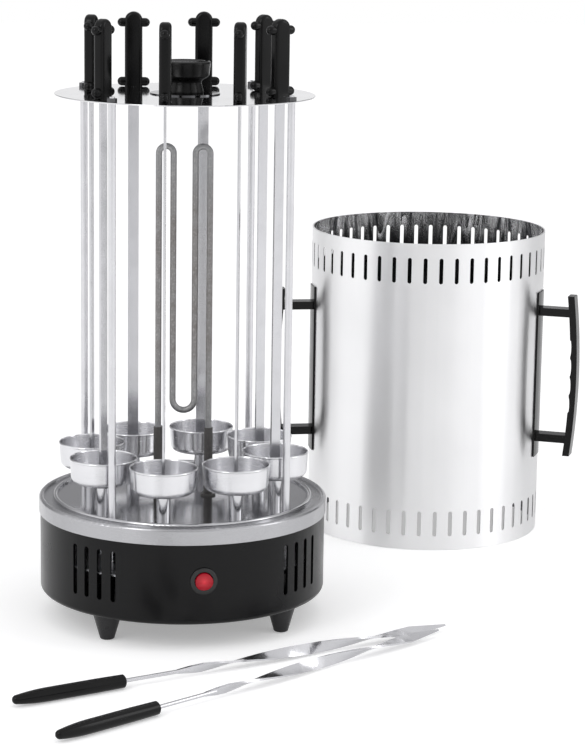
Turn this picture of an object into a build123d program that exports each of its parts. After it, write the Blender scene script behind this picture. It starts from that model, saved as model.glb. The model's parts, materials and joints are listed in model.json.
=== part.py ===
from build123d import *
from math import acos, cos, pi, radians, sin
import os

# Electric skewer grill. Millimetres, +Z up, front towards -Y.
# The origin is the middle of the whole set's footprint, on the surface it stands on.
# Angles round the grill are counted from the front, positive towards the right (+X).

# ---------------------------------------------------------------- driving dimensions

grill_x, grill_y = -122.0, -28.45  # the grill's upright axis

# running and sliding clearances
bearing_clearance = 0.06  # shaft in its bearing, on the radius
slide_clearance = 0.3  # loose sliding fits, on each side
seat_clearance = 0.2  # parts that drop into each other

# base housing
housing_radius = 119.0
housing_wall = 2.0
housing_bottom = 22.0  # standing clearance under the shell
housing_edge_radius = 4.0  # lower edge, turned in
lip_width = 8.0
lip_thickness = 3.0

# vents: groups of upright slots
vent_group_angles = (-45.5, 46.0, 134.0, 225.5)
vents_per_group = 4
vent_pitch_angle = 6.3
vent_length = 42.0
vent_width = 4.6
vent_height = 58.5  # middle of the slots

# deck and rim
deck_height = 100.2  # top of the deck plate
sheet = 0.8  # deck plate, rim and cup metal
rim_clearance = 0.2  # housing to the inside of the rim's skirt
rim_skirt_height = 10.9  # straight wall of the rim below its rolled top
rim_roll_radius = 2.2
rim_flange_margin = 6.5  # from the posts' circle inwards
bead_inset = 12.6  # from the housing's outside to the middle of the deck plate's raised bead
bead_half_width = 1.8
bead_straight = 0.9

# bottom cover and feet
cover_plate_thickness = 2.5
cover_plate_recess = 0.5  # how far the bottom cover sits up inside the shell
bottom_vents = 16
bottom_vent_length = 34.0
bottom_vent_width = 4.0
bottom_vent_circle = 58.0
foot_inset = 17.5  # from the housing's outside
foot_angles = (-45.0, 45.0, 135.0, 225.0)
foot_top_radius = 12.2
foot_bottom_radius = 6.2
foot_edge_radius = 1.5
foot_recess_radius = 3.3
foot_recess_depth = 11.0
foot_boss_radius = 6.0
foot_boss_top = 50.0
rib_width = 3.0

# screws
screw_radius = 1.5
screw_hole_clearance = 0.2
screw_head_radius = 2.8
screw_head_height = 1.6
foot_screw_length = 26.0
chassis_screw_length = 9.0

# gear plate, which carries the gears and the motor
plate_edge_gap = 1.0  # plate to the inside of the housing
plate_thickness = 1.5
plate_bottom = 58.0
plate_notch_clearance = 2.0
plate_boss_inset = 6.0  # from the inside of the housing
plate_boss_angles = (-70.0, 70.0, 110.0, 250.0)
plate_boss_radius = 7.0
plate_boss_height = 29.0

# support posts
ring_turn = 2.75  # posts and skewers against the housing's front
post_inset = 17.5  # from the housing's outside
first_post_angle = -45.0
post_count = 4
post_radius = 3.0
stud_radius = 2.0
stud_end = 1.2  # thread that stands out past the nut
spacer_radius = 5.0
nut_flats = 7.0
nut_height = 3.2

# top disc
disc_height = 434.4  # underside
disc_overhang = 4.5  # past the posts' circle
disc_thickness = 1.0
disc_hole_radius = 5.2

# skewer places, cups and spindles
skewer_count = 8
skewer_phase = 22.5  # first skewer against the ring's turn
cup_lift_off = 20.8  # deck plate to the underside of a cup
cup_radius = 27.8
cup_height = 21.2
cup_corner_radius = 5.5
cup_lean = 1.3  # how much narrower the cup is at its foot
cup_lip_radius = 0.9
cup_hub_radius = 7.5
cup_hub_top = 12.3  # above the cup's underside
stem_radius = 5.75
peg_flats = 8.0
peg_height = 4.0
peg_headroom = 0.5
blade_slot_floor = 5.8  # above the cup's underside
journal_radius = 4.0
journal_length = 3.5
collar_radius = 6.5
collar_height = 2.5
gear_hub_radius = 7.5

# gear train, one module for all
gear_module = 2.0
pressure_angle = 20.0
backlash = 0.25  # taken off each tooth's thickness
tip_clearance = 0.5  # tip of one gear to the root of the next
drive_teeth = 56
spindle_teeth = 22
pinion_teeth = 12
pinion_step = 10  # drive teeth from the first skewer to the motor
spindle_gear_bottom = 70.0
spindle_gear_face = 7.0
pinion_bottom = 62.0
pinion_face = 7.0
drive_gear_bottom = 61.5
drive_bore_radius = 30.0
drive_hub_wall = 4.5
drive_rim_wall = 6.0
drive_web_thickness = 4.0
web_holes = 8
web_hole_radius = 4.0
hub_ring_wall = 3.5
hub_shoulder_width = 3.0

# motor
motor_radius = 24.0
motor_height = 22.0
motor_ear_reach = 30.0
motor_ear_turn = 45.0  # from the way out of the grill
motor_ear_radius = 5.0
motor_ear_thickness = 2.0
motor_shaft_radius = 2.5
motor_shaft_depth = 12.0

# heater
heater_facing = 79.0
heater_tube_radius = 2.6
heater_outer_leg = 21.0
heater_inner_leg = 9.0
heater_top = 392.6  # middle of the tube in the top loops
heater_bottom = 172.6  # middle of the tube in the lower loop
sleeve_radius = 3.7
sleeve_top = 158.0
sleeve_tail = 8.0  # below the deck plate's top
sleeve_flange_radius = 6.5
sleeve_flange_height = 1.6
terminal_length = 49.0
terminal_width = 13.0
terminal_height = 10.5
terminal_depth = 6.0

# top knob
washer_radius = 28.5
washer_thickness = 0.9
knob_radius = 21.0
knob_height = 26.0
knob_foot_radius = 15.0
knob_neck_radius = 12.8
knob_neck_height = 9.5
knob_skirt_height = 13.5
knob_edge_radius = 1.4
knob_dish_radius = 16.0
knob_dish_depth = 1.6

# skewers in the grill: how far each is turned from the front's own direction
skewer_facings = (164.0, 116.0, 119.0, 79.0, 79.0, 159.0, 139.0, 169.0)
blade_width = 9.0
blade_thickness = 1.8
tip_length = 9.0
tip_flat = 1.2
tang_length = 46.0
handle_length = 62.0
handle_width = 14.6
handle_thickness = 9.5
handle_dome_rise = 7.0  # height of the rounded top
handle_edge_radius = 3.0
bar_span = 27.0
bar_radius = 3.7
bar_rises = (4.1, 53.0)

# rocker switch
switch_height = 59.0
bezel_radius = 11.0
bezel_flange = 2.2
bezel_seat_depth = 0.7  # spot face cut into the shell's front
switch_body_radius = 10.0
switch_body_length = 19.0
switch_bore_radius = 7.7
switch_back_wall = 2.0
lug_width = 6.0
lug_thickness = 0.8
lug_length = 7.0
rocker_gap = 0.6
rocker_depth = 7.0
rocker_crown = 1.2
rocker_stand_out = 0.6
rocker_pivot_depth = 3.4
pivot_pin_radius = 1.2
pivot_pin_length = 0.8  # into the switch body's wall
rocker_tilt = 5.0

# cord gland
gland_height = 45.0
gland_body_radius = 6.0
gland_flange_radius = 9.0
gland_flange_thickness = 2.4
gland_nose_length = 9.0
gland_nose_radius = 5.0
gland_tail_length = 6.0
gland_bore_radius = 3.6

# loose cover
cover_x, cover_y = 271.3, 260.8  # from the grill's axis
cover_front = -15.0  # the cover's own front
cover_inset = 9.2  # from the housing's outside, so that it stands inside the rim's roll
cover_wall = 0.8
cover_length = 285.5
cover_hem_height = 3.0
cover_hem_wall = 1.4
cover_slots = 48
slot_length = 23.5
slot_width = 3.6
slot_margin = 13.0
handle_side_angle = 77.0  # from the cover's front to each handle
handle_arm_low = 92.5
handle_arm_gap = 120.5  # between the two arms' middles
handle_arm_thickness = 7.5
grip_overhang = 16.0  # past the arms' middles, above and below
grip_reach = 27.0  # from the shell to the grip
grip_thickness = 6.4
grip_width = 14.0
grip_bow = 4.5
groove_count = 4
groove_pitch = 18.0
groove_depth = 1.1
backing_width = 22.0
backing_length = 157.0
backing_thickness = 1.3
arm_sink = 0.5  # how deep the arms run into their backing strip

# loose skewers: handle end from the grill's axis, and the way they point
loose_places = {"a": (-161.0, -231.0, 20.6), "b": (-136.0, -312.0, 31.8)}
loose_handle_length = 94.0
loose_handle_radius = 5.5
loose_nose_radius = 3.6
loose_nose_length = 30.0
loose_front_radius = 5.2
loose_length = 392.0
shaft_radius = 1.6
shaft_length = 46.0
loose_tang_length = 44.0  # shaft inside the handle
twist_per_step = 15.0
twist_step = 10.75
flare_steps = 2
loose_tip_length = 34.0
loose_tip_width = 1.5
loose_blade_thickness = 1.6

# ---------------------------------------------------------------- worked-out values

grill_axis = Axis((grill_x, grill_y, 0), (0, 0, 1))
housing_inner = housing_radius - housing_wall
rim_radius = housing_radius + rim_clearance + sheet
post_circle = housing_radius - post_inset
post_angles = [first_post_angle + ring_turn + 360 / post_count * k for k in range(post_count)]
foot_circle = housing_radius - foot_inset
bead_radius = housing_radius - bead_inset
rim_flange_inner = post_circle - rim_flange_margin
plate_radius = housing_inner - plate_edge_gap
plate_boss_circle = housing_inner - plate_boss_inset
plate_notch_start = (
    housing_radius - bezel_seat_depth - switch_body_length - lug_length - plate_notch_clearance
)
disc_radius = post_circle + disc_overhang
cover_radius = housing_radius - cover_inset
cup_bottom = deck_height + cup_lift_off
rim_flange_bottom = deck_height - 2 * sheet
rim_flange_top = deck_height - sheet
rim_roll_middle = rim_radius - rim_roll_radius
lip_bottom = rim_flange_bottom - lip_thickness
cover_plate_bottom = housing_bottom + cover_plate_recess
cover_plate_top = cover_plate_bottom + cover_plate_thickness
cover_plate_radius = housing_radius - housing_edge_radius - seat_clearance
plate_top = plate_bottom + plate_thickness
screw_hole_radius = screw_radius + screw_hole_clearance
disc_top = disc_height + disc_thickness
stud_hole_radius = stud_radius + 0.1
drive_pitch_radius = gear_module * drive_teeth / 2
skewer_circle = gear_module * (drive_teeth + spindle_teeth) / 2
first_skewer_angle = skewer_phase + ring_turn
pinion_circle = gear_module * (drive_teeth + pinion_teeth) / 2
drive_gear_top = spindle_gear_bottom + spindle_gear_face
hub_ring_radius = drive_bore_radius - bearing_clearance
skewer_angles = [first_skewer_angle + 360 / skewer_count * k for k in range(skewer_count)]
motor_angle = first_skewer_angle + 360 / drive_teeth * pinion_step
cover_middle = Vector(grill_x + cover_x, grill_y + cover_y, 0)
leg_offsets = (-heater_outer_leg, heater_outer_leg)

# ---------------------------------------------------------------- helpers


def outward(facing):
    """Level direction at an angle counted from the front."""
    return Vector(sin(radians(facing)), -cos(radians(facing)), 0)


def spot(radius, angle, height=0.0):
    """A point round the grill's axis."""
    return Vector(grill_x, grill_y, height) + outward(angle) * radius


def level(point, facing=90.0):
    """Level plane at a point, its local x along the facing."""
    return Plane(origin=point, x_dir=outward(facing), z_dir=(0, 0, 1))


def upright(point, facing=90.0):
    """Upright plane through a point, its local x along the facing and its local y up."""
    along = outward(facing)
    return Plane(origin=point, x_dir=along, z_dir=along.cross(Vector(0, 0, 1)))


def at_axis(height):
    """Level plane on the grill's axis."""
    return level(spot(0, 0, height))


def spots(radius, angles):
    """Local places for a level sketch on the grill's axis."""
    return [(radius * sin(radians(a)), -radius * cos(radians(a))) for a in angles]


def keep(piece, name):
    """Label a finished piece and write it."""
    piece.part.label = name
    export_step(piece.part, f"parts/{name}.step")


def involute(angle):
    """Roll-off of an involute at a pressure angle, in radians."""
    return sin(angle) / cos(angle) - angle


def gear_points(teeth):
    """Outline of a gear with one tooth centred on its local x; its flanks follow an involute."""
    pitch_radius = gear_module * teeth / 2
    base_radius = pitch_radius * cos(radians(pressure_angle))
    half_pitch = pi / 2 / teeth - backlash / 2 / pitch_radius + involute(radians(pressure_angle))
    flank = []
    for radius in (
        pitch_radius - gear_module - tip_clearance,
        pitch_radius,
        pitch_radius + gear_module,
    ):
        flank.append((radius, half_pitch - involute(acos(min(1.0, base_radius / radius)))))
    points = []
    for k in range(teeth):
        middle = 2 * pi * k / teeth
        points += [(radius, middle - half) for radius, half in flank]
        points += [(radius, middle + half) for radius, half in reversed(flank)]
    return [(radius * cos(a), radius * sin(a)) for radius, a in points]


def mesh_facing(angle, teeth):
    """Facing of one tooth of a gear that meshes with the drive gear at this angle."""
    lag = (angle - first_skewer_angle) % (360 / drive_teeth)
    return angle + 180 + (180 + lag * drive_teeth) / teeth


os.makedirs("parts", exist_ok=True)

# ---------------------------------------------------------------- base housing

vent_planes = []
for group in vent_group_angles:
    for k in range(vents_per_group):
        angle = group + (k - (vents_per_group - 1) / 2) * vent_pitch_angle
        across = outward(angle).cross(Vector(0, 0, 1))
        vent_planes.append(
            Plane(
                origin=spot(housing_radius - housing_wall / 2, angle, vent_height),
                x_dir=across,
                z_dir=outward(angle),
            )
        )

spot_face = spot(housing_radius - bezel_seat_depth, 0, switch_height)
back_wall = spot(housing_radius, 180, gland_height)
front_plane = Plane(origin=spot_face, x_dir=(1, 0, 0), z_dir=(0, -1, 0))
back_plane = Plane(origin=back_wall, x_dir=(-1, 0, 0), z_dir=(0, 1, 0))

with BuildPart() as base_housing:
    with BuildSketch(upright(spot(0, 0))):
        turned_in = housing_radius - housing_edge_radius
        turn_top = housing_bottom + housing_edge_radius
        halfway = cos(radians(45))
        inner_turn = housing_edge_radius - housing_wall
        with BuildLine():
            b1 = ThreePointArc(
                (turned_in, housing_bottom),
                (turned_in + housing_edge_radius * halfway, turn_top - housing_edge_radius * halfway),
                (housing_radius, turn_top),
            )
            b2 = Polyline(
                b1 @ 1,
                (housing_radius, rim_flange_bottom),
                (housing_inner - lip_width, rim_flange_bottom),
                (housing_inner - lip_width, lip_bottom),
                (housing_inner, lip_bottom - lip_width),
                (housing_inner, turn_top),
            )
            b3 = ThreePointArc(
                b2 @ 1,
                (turned_in + inner_turn * halfway, turn_top - inner_turn * halfway),
                (turned_in, housing_bottom + housing_wall),
            )
            Line(b3 @ 1, b1 @ 0)
        make_face()
    revolve(axis=grill_axis)
    # bosses for the gear plate
    with BuildSketch(at_axis(plate_boss_height)):
        with Locations(*spots(plate_boss_circle, plate_boss_angles)):
            Circle(plate_boss_radius)
        Circle(housing_inner + housing_wall / 2, mode=Mode.INTERSECT)
    extrude(amount=plate_bottom - plate_boss_height)
    # bosses for the foot screws, each tied to the wall by a rib
    with BuildSketch(at_axis(cover_plate_top)):
        for angle in foot_angles:
            place = spots(foot_circle, [angle])[0]
            reach = housing_inner + housing_wall / 2 - foot_circle
            with Locations(Location((place[0], place[1], 0), angle - 90)):
                Circle(foot_boss_radius)
                Rectangle(reach, rib_width, align=(Align.MIN, Align.CENTER))
    extrude(amount=foot_boss_top - cover_plate_top)
    with BuildSketch(at_axis(plate_bottom)):
        with Locations(*spots(plate_boss_circle, plate_boss_angles)):
            Circle(screw_radius)
    extrude(amount=plate_thickness - chassis_screw_length, mode=Mode.SUBTRACT)
    with BuildSketch(at_axis(cover_plate_top)):
        with Locations(*spots(foot_circle, foot_angles)):
            Circle(screw_radius)
    extrude(amount=foot_boss_top - cover_plate_top, mode=Mode.SUBTRACT)
    with BuildSketch(*vent_planes):
        SlotOverall(vent_length, vent_width, rotation=90)
    extrude(amount=housing_wall * 2, both=True, mode=Mode.SUBTRACT)
    # the switch hole and its spot face
    with BuildSketch(front_plane):
        Circle(bezel_radius + seat_clearance)
    extrude(amount=bezel_flange * 2, mode=Mode.SUBTRACT)
    with BuildSketch(front_plane):
        Circle(switch_body_radius + seat_clearance)
    extrude(amount=-housing_wall * 2, mode=Mode.SUBTRACT)
    # the gland hole and its spot face
    with BuildSketch(back_plane):
        Circle(gland_body_radius + seat_clearance)
    extrude(amount=housing_wall * 2, both=True, mode=Mode.SUBTRACT)
    with BuildSketch(back_plane.offset(-bezel_seat_depth)):
        Circle(gland_flange_radius + seat_clearance)
    extrude(amount=gland_flange_thickness * 2, mode=Mode.SUBTRACT)
keep(base_housing, "base_housing")

# ---------------------------------------------------------------- rim and deck

with BuildPart() as base_rim:
    with BuildSketch(upright(spot(0, 0))):
        skirt_bottom = rim_flange_top - rim_skirt_height
        outer = rim_radius
        inner = rim_roll_middle - rim_roll_radius
        with BuildLine():
            l1 = Polyline((outer - sheet, skirt_bottom), (outer, skirt_bottom), (outer, rim_flange_top))
            l2 = ThreePointArc(
                l1 @ 1,
                (rim_roll_middle, rim_flange_top + rim_roll_radius),
                (inner, rim_flange_top),
            )
            l3 = Polyline(
                l2 @ 1,
                (rim_flange_inner, rim_flange_top),
                (rim_flange_inner, rim_flange_bottom),
                (inner + sheet, rim_flange_bottom),
                (inner + sheet, rim_flange_top),
            )
            l4 = ThreePointArc(
                l3 @ 1,
                (rim_roll_middle, rim_flange_top + rim_roll_radius - sheet),
                (outer - sheet, rim_flange_top),
            )
            Line(l4 @ 1, l1 @ 0)
        make_face()
    revolve(axis=grill_axis)
    with BuildSketch(at_axis(rim_flange_top)):
        with Locations(*spots(post_circle, post_angles)):
            Circle(stud_hole_radius)
    extrude(amount=-sheet, mode=Mode.SUBTRACT)
keep(base_rim, "base_rim")

with BuildPart() as deck_plate:
    with BuildSketch(upright(spot(0, 0))):
        bead_out = bead_radius + bead_half_width
        bead_in = bead_radius - bead_half_width
        spring = deck_height + bead_straight
        with BuildLine():
            d1 = Polyline((0, rim_flange_top), (0, deck_height), (bead_in, deck_height), (bead_in, spring))
            d2 = ThreePointArc(d1 @ 1, (bead_radius, spring + bead_half_width), (bead_out, spring))
            d3 = Polyline(
                d2 @ 1,
                (bead_out, rim_flange_top),
                (bead_out - sheet, rim_flange_top),
                (bead_out - sheet, spring),
            )
            d4 = ThreePointArc(
                d3 @ 1,
                (bead_radius, spring + bead_half_width - sheet),
                (bead_in + sheet, spring),
            )
            Polyline(d4 @ 1, (bead_in + sheet, rim_flange_top), (0, rim_flange_top))
        make_face()
    revolve(axis=grill_axis)
    with BuildSketch(at_axis(deck_height)):
        with Locations(*spots(skewer_circle, skewer_angles)):
            Circle(stem_radius + bearing_clearance)
        with Locations(*spots(post_circle, post_angles)):
            Circle(stud_hole_radius)
        for side in leg_offsets:
            with Locations(*spots(side, [heater_facing])):
                Circle(sleeve_radius + seat_clearance)
    extrude(amount=-sheet, mode=Mode.SUBTRACT)
keep(deck_plate, "deck_plate")

# ---------------------------------------------------------------- bottom cover, feet and screws

with BuildPart() as bottom_cover:
    with BuildSketch(at_axis(cover_plate_bottom)):
        Circle(cover_plate_radius)
        with Locations(*spots(foot_circle, foot_angles)):
            Circle(screw_hole_radius, mode=Mode.SUBTRACT)
        with PolarLocations(bottom_vent_circle, bottom_vents):
            SlotOverall(bottom_vent_length, bottom_vent_width, mode=Mode.SUBTRACT)
    extrude(amount=cover_plate_thickness)
keep(bottom_cover, "bottom_cover")

with BuildPart() as feet:
    for angle in foot_angles:
        place = spot(foot_circle, angle)
        with BuildSketch(upright(place)):
            with BuildLine():
                f1 = Polyline(
                    (foot_recess_radius, 0),
                    (foot_bottom_radius - foot_edge_radius, 0),
                )
                f2 = ThreePointArc(
                    f1 @ 1,
                    (
                        foot_bottom_radius - foot_edge_radius * (1 - cos(radians(45))),
                        foot_edge_radius * (1 - sin(radians(45))),
                    ),
                    (foot_bottom_radius, foot_edge_radius),
                )
                Polyline(
                    f2 @ 1,
                    (foot_top_radius, cover_plate_bottom),
                    (screw_hole_radius, cover_plate_bottom),
                    (screw_hole_radius, foot_recess_depth),
                    (foot_recess_radius, foot_recess_depth),
                    f1 @ 0,
                )
            make_face()
        revolve(axis=Axis(place, (0, 0, 1)))
keep(feet, "feet")

with BuildPart() as foot_screws:
    with BuildSketch(at_axis(foot_recess_depth)):
        with Locations(*spots(foot_circle, foot_angles)):
            Circle(screw_head_radius)
    extrude(amount=-screw_head_height)
    with BuildSketch(at_axis(foot_recess_depth)):
        with Locations(*spots(foot_circle, foot_angles)):
            Circle(screw_radius)
    extrude(amount=foot_screw_length)
keep(foot_screws, "foot_screws")

# ---------------------------------------------------------------- gear plate and its screws

motor_place = spot(pinion_circle, motor_angle)
ear_places = [motor_place + outward(motor_angle + motor_ear_turn) * side * motor_ear_reach for side in (-1, 1)]
ear_spots = [(p.X - grill_x, p.Y - grill_y) for p in ear_places]
pinion_spots = spots(pinion_circle, [motor_angle])

with BuildPart() as gear_plate:
    with BuildSketch(at_axis(plate_bottom)):
        Circle(plate_radius)
    extrude(amount=plate_thickness)
    with BuildSketch(at_axis(plate_top)):
        with Locations(*spots(skewer_circle, skewer_angles)):
            Circle(collar_radius)
    extrude(amount=collar_height)
    with BuildSketch(at_axis(plate_top)):
        Circle(drive_bore_radius + hub_shoulder_width)
        Circle(hub_ring_radius - hub_ring_wall, mode=Mode.SUBTRACT)
    extrude(amount=drive_gear_bottom - plate_top)
    with BuildSketch(at_axis(drive_gear_bottom)):
        Circle(hub_ring_radius)
        Circle(hub_ring_radius - hub_ring_wall, mode=Mode.SUBTRACT)
    extrude(amount=drive_gear_top - drive_gear_bottom)
    with BuildSketch(at_axis(plate_bottom)):
        with Locations(*spots(skewer_circle, skewer_angles)):
            Circle(journal_radius + bearing_clearance)
        with Locations(*spots(post_circle, post_angles)):
            Circle(stud_hole_radius)
        with Locations(*spots(plate_boss_circle, plate_boss_angles), *ear_spots):
            Circle(screw_hole_radius)
        with Locations(*pinion_spots):
            Circle(motor_shaft_radius + seat_clearance)
    extrude(amount=plate_thickness + collar_height, mode=Mode.SUBTRACT)
    # a notch that leaves room for the switch
    with BuildSketch(level(spot(plate_notch_start, 0, plate_bottom), 0)):
        Rectangle(
            plate_radius,
            2 * (switch_body_radius + plate_notch_clearance),
            align=(Align.MIN, Align.CENTER),
        )
    extrude(amount=plate_thickness, mode=Mode.SUBTRACT)
keep(gear_plate, "gear_plate")

with BuildPart() as chassis_screws:
    with BuildSketch(at_axis(plate_top)):
        with Locations(*spots(plate_boss_circle, plate_boss_angles), *ear_spots):
            Circle(screw_head_radius)
    extrude(amount=screw_head_height)
    with BuildSketch(at_axis(plate_top)):
        with Locations(*spots(plate_boss_circle, plate_boss_angles), *ear_spots):
            Circle(screw_radius)
    extrude(amount=-chassis_screw_length)
keep(chassis_screws, "chassis_screws")

# ---------------------------------------------------------------- motor

with BuildPart() as motor:
    with BuildSketch(level(motor_place + Vector(0, 0, plate_bottom))):
        Circle(motor_radius)
    extrude(amount=-motor_height)
    fillet(motor.faces().sort_by(Axis.Z)[0].edges(), 1.5)
    with BuildSketch(level(motor_place + Vector(0, 0, plate_bottom), motor_angle + motor_ear_turn)):
        SlotCenterToCenter(2 * motor_ear_reach, 2 * motor_ear_radius)
    extrude(amount=-motor_ear_thickness)
    with BuildSketch(at_axis(plate_bottom)):
        with Locations(*ear_spots):
            Circle(screw_radius)
        with Locations(*pinion_spots):
            Circle(motor_shaft_radius + bearing_clearance)
    extrude(amount=-motor_shaft_depth, mode=Mode.SUBTRACT)
keep(motor, "motor")

# ---------------------------------------------------------------- gears

with BuildPart() as drive_gear:
    with BuildSketch(level(spot(0, 0, drive_gear_bottom), first_skewer_angle)):
        Polygon(*gear_points(drive_teeth), align=None)
        Circle(drive_bore_radius, mode=Mode.SUBTRACT)
    extrude(amount=drive_gear_top - drive_gear_bottom)
    # both faces are cut back to a web between hub and rim
    web_bottom = (drive_gear_bottom + drive_gear_top - drive_web_thickness) / 2
    rim_inner = drive_pitch_radius - gear_module - tip_clearance - drive_rim_wall
    for start, end in (
        (drive_gear_bottom, web_bottom),
        (web_bottom + drive_web_thickness, drive_gear_top),
    ):
        with BuildSketch(at_axis(start)):
            Circle(rim_inner)
            Circle(drive_bore_radius + drive_hub_wall, mode=Mode.SUBTRACT)
        extrude(amount=end - start, mode=Mode.SUBTRACT)
    with BuildSketch(at_axis(web_bottom)):
        with PolarLocations((rim_inner + drive_bore_radius + drive_hub_wall) / 2, web_holes):
            Circle(web_hole_radius)
    extrude(amount=drive_web_thickness, mode=Mode.SUBTRACT)
keep(drive_gear, "drive_gear")

with BuildPart() as motor_pinion:
    with BuildSketch(level(motor_place + Vector(0, 0, pinion_bottom), mesh_facing(motor_angle, pinion_teeth))):
        Polygon(*gear_points(pinion_teeth), align=None)
    extrude(amount=pinion_face)
    with BuildSketch(at_axis(pinion_bottom + pinion_face / 2)):
        with Locations(*pinion_spots):
            Circle(motor_shaft_radius)
    extrude(amount=plate_bottom - motor_shaft_depth - pinion_bottom)
keep(motor_pinion, "motor_pinion")

# ---------------------------------------------------------------- spindles, cups and skewers

for k, angle in enumerate(skewer_angles):
    place = spot(skewer_circle, angle)
    turn = skewer_facings[k % len(skewer_facings)]

    def up(height, facing=turn, foot=place):
        """Level plane on this skewer's axis."""
        return level(foot + Vector(0, 0, height), facing)

    with BuildPart() as spindle:
        with BuildSketch(up(spindle_gear_bottom, mesh_facing(angle, spindle_teeth))):
            Polygon(*gear_points(spindle_teeth), align=None)
        extrude(amount=spindle_gear_face)
        with BuildSketch(up(plate_top + collar_height)):
            Circle(gear_hub_radius)
        extrude(amount=spindle_gear_bottom - plate_top - collar_height)
        with BuildSketch(up(plate_top + collar_height)):
            Circle(journal_radius)
        extrude(amount=-journal_length)
        with BuildSketch(up(spindle_gear_bottom)):
            Circle(stem_radius)
        extrude(amount=cup_bottom - spindle_gear_bottom)
        with BuildSketch(up(cup_bottom)):
            RegularPolygon(peg_flats / 2, 6, major_radius=False)
        extrude(amount=peg_height)
    keep(spindle, f"spindle_{k + 1}")

    with BuildPart() as drip_cup:
        foot_radius = cup_radius - cup_lean
        shoulder = foot_radius - cup_corner_radius
        inner_corner = cup_corner_radius - sheet
        diagonal = 1 - cos(radians(45))
        with BuildSketch(upright(place + Vector(0, 0, cup_bottom))):
            with BuildLine():
                c1 = Line((0, 0), (shoulder, 0))
                c2 = ThreePointArc(
                    c1 @ 1,
                    (foot_radius - cup_corner_radius * diagonal, cup_corner_radius * diagonal),
                    (foot_radius, cup_corner_radius),
                )
                c3 = Line(c2 @ 1, (cup_radius - cup_lip_radius / 2, cup_height - 2 * cup_lip_radius))
                c4 = ThreePointArc(
                    c3 @ 1,
                    (cup_radius, cup_height - cup_lip_radius),
                    (cup_radius - cup_lip_radius, cup_height),
                )
                c5 = Line(c4 @ 1, (cup_radius - cup_lip_radius / 2 - sheet, cup_height - cup_lip_radius))
                c6 = Line(c5 @ 1, (foot_radius - sheet, cup_corner_radius))
                c7 = ThreePointArc(
                    c6 @ 1,
                    (foot_radius - sheet - inner_corner * diagonal, sheet + inner_corner * diagonal),
                    (shoulder, sheet),
                )
                Polyline(c7 @ 1, (0, sheet), (0, 0))
            make_face()
        revolve(axis=Axis(place, (0, 0, 1)))
        with BuildSketch(up(cup_bottom)):
            Circle(cup_hub_radius)
        extrude(amount=cup_hub_top)
        with BuildSketch(up(cup_bottom)):
            RegularPolygon(peg_flats / 2 + slide_clearance, 6, major_radius=False)
        extrude(amount=peg_height + peg_headroom, mode=Mode.SUBTRACT)
        with BuildSketch(up(cup_bottom + blade_slot_floor)):
            Rectangle(blade_width + 2 * slide_clearance, blade_thickness + 2 * slide_clearance)
        extrude(amount=cup_hub_top - blade_slot_floor, mode=Mode.SUBTRACT)
    keep(drip_cup, f"drip_cup_{k + 1}")

    with BuildPart() as skewer_blade:
        tip_height = cup_bottom + blade_slot_floor + slide_clearance
        with BuildSketch(upright(place, turn)):
            with BuildLine():
                Polyline(
                    (-tip_flat / 2, tip_height),
                    (tip_flat / 2, tip_height),
                    (blade_width / 2, tip_height + tip_length),
                    (blade_width / 2, disc_top + tang_length),
                    (-blade_width / 2, disc_top + tang_length),
                    (-blade_width / 2, tip_height + tip_length),
                    close=True,
                )
            make_face()
        extrude(amount=blade_thickness / 2, both=True)
    keep(skewer_blade, f"skewer_blade_{k + 1}")

    with BuildPart() as skewer_handle:
        with BuildSketch(upright(place + Vector(0, 0, disc_top), turn)):
            shoulder_height = handle_length - handle_dome_rise
            with BuildLine():
                t1 = Polyline(
                    (-handle_width / 2, shoulder_height),
                    (-handle_width / 2, 0),
                    (handle_width / 2, 0),
                    (handle_width / 2, shoulder_height),
                )
                ThreePointArc(t1 @ 1, (0, handle_length), t1 @ 0)
            make_face()
        extrude(amount=handle_thickness / 2, both=True)
        fillet(skewer_handle.edges().filter_by(Axis.Z), handle_edge_radius)
        for rise in bar_rises:
            bar_middle = place + Vector(0, 0, disc_top + rise)
            with BuildSketch(upright(bar_middle, turn)):
                SlotOverall(bar_span, 2 * bar_radius)
                Rectangle(bar_span, bar_radius, align=(Align.CENTER, Align.MIN), mode=Mode.INTERSECT)
            revolve(axis=Axis(bar_middle, outward(turn)))
        with BuildSketch(up(disc_top)):
            Rectangle(blade_width, blade_thickness)
        extrude(amount=tang_length, mode=Mode.SUBTRACT)
    keep(skewer_handle, f"skewer_handle_{k + 1}")

# ---------------------------------------------------------------- heater

with BuildPart() as heater_element:
    heater_plane = upright(spot(0, 0), heater_facing)
    loop_radius = (heater_outer_leg - heater_inner_leg) / 2
    loop_middle = heater_top - loop_radius
    low_middle = heater_bottom + heater_inner_leg
    leg_end = drive_gear_bottom + sheet
    with BuildLine(heater_plane) as tube_path:
        h1 = Line((-heater_outer_leg, leg_end), (-heater_outer_leg, loop_middle))
        h2 = ThreePointArc(
            h1 @ 1,
            (-(heater_outer_leg + heater_inner_leg) / 2, heater_top),
            (-heater_inner_leg, loop_middle),
        )
        h3 = Line(h2 @ 1, (-heater_inner_leg, low_middle))
        h4 = ThreePointArc(h3 @ 1, (0, heater_bottom), (heater_inner_leg, low_middle))
        h5 = Line(h4 @ 1, (heater_inner_leg, loop_middle))
        h6 = ThreePointArc(
            h5 @ 1,
            ((heater_outer_leg + heater_inner_leg) / 2, heater_top),
            (heater_outer_leg, loop_middle),
        )
        h7 = Line(h6 @ 1, (heater_outer_leg, leg_end))
    with BuildSketch(level(spot(-heater_outer_leg, heater_facing, leg_end))):
        Circle(heater_tube_radius)
    sweep(path=tube_path.wire())
keep(heater_element, "heater_element")

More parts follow.
